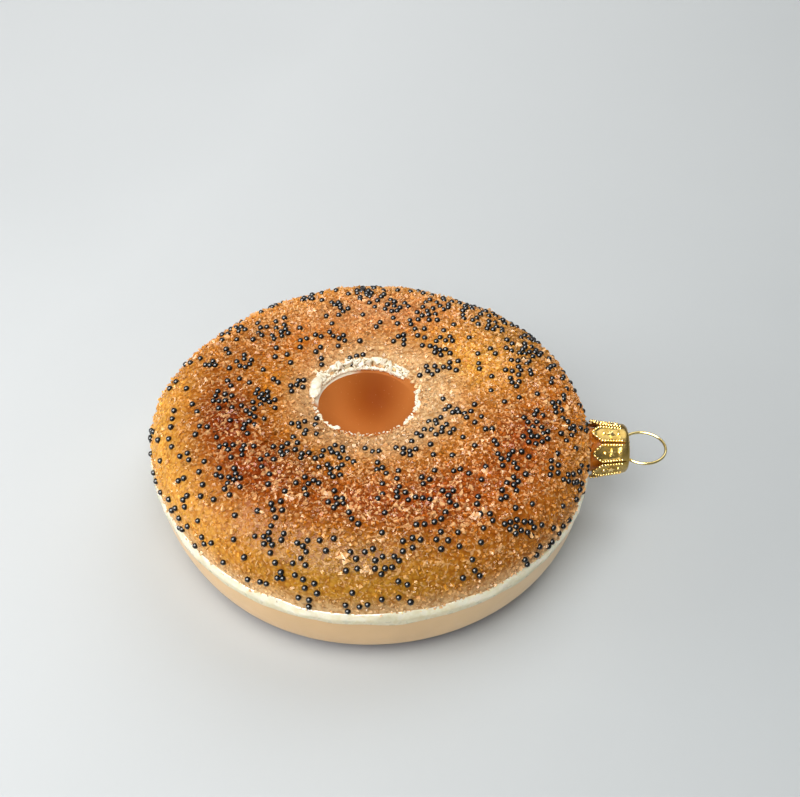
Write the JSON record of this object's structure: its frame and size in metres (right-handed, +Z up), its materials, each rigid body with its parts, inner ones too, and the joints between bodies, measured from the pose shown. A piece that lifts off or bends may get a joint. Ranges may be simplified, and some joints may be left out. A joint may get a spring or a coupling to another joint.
{
  "type": "glass bagel ornament",
  "caption": "Painted glass tree ornament shaped like a poppy seed bagel, lying flat, with a dimple for its hole, a gold petal cap on its neck and a wire hanging loop.",
  "frame": {"origin": "under the middle of the whole, from the body's far side to the loop's tip, at the level of the flat ring it rests on", "axes": "+X along the neck, from the body out to the hanging loop; +Z up through the body's two dimples, with the seeded crust on top"},
  "size_m": [0.0953, 0.0805, 0.0274],
  "materials": {
    "painted_glass": "airbrushed and lacquered glass: toasted crust on top, a satin peach side and a brown dimple",
    "crushed_glass": "loose sparkling grit in clear and amber tints",
    "seed_beads": "black glass, glossy",
    "cream_paint": "raised line of thick glossy paint",
    "crumb_paste": "dry crumbly paste",
    "gold_cap": "pressed and gold-plated sheet",
    "gold_wire": "drawn and gold-plated wire"
  },
  "bodies": {
    "root": {"glass_body": "painted_glass", "crown_cap": "gold_cap", "wire_loop": "gold_wire"}
  },
  "joints": []
}
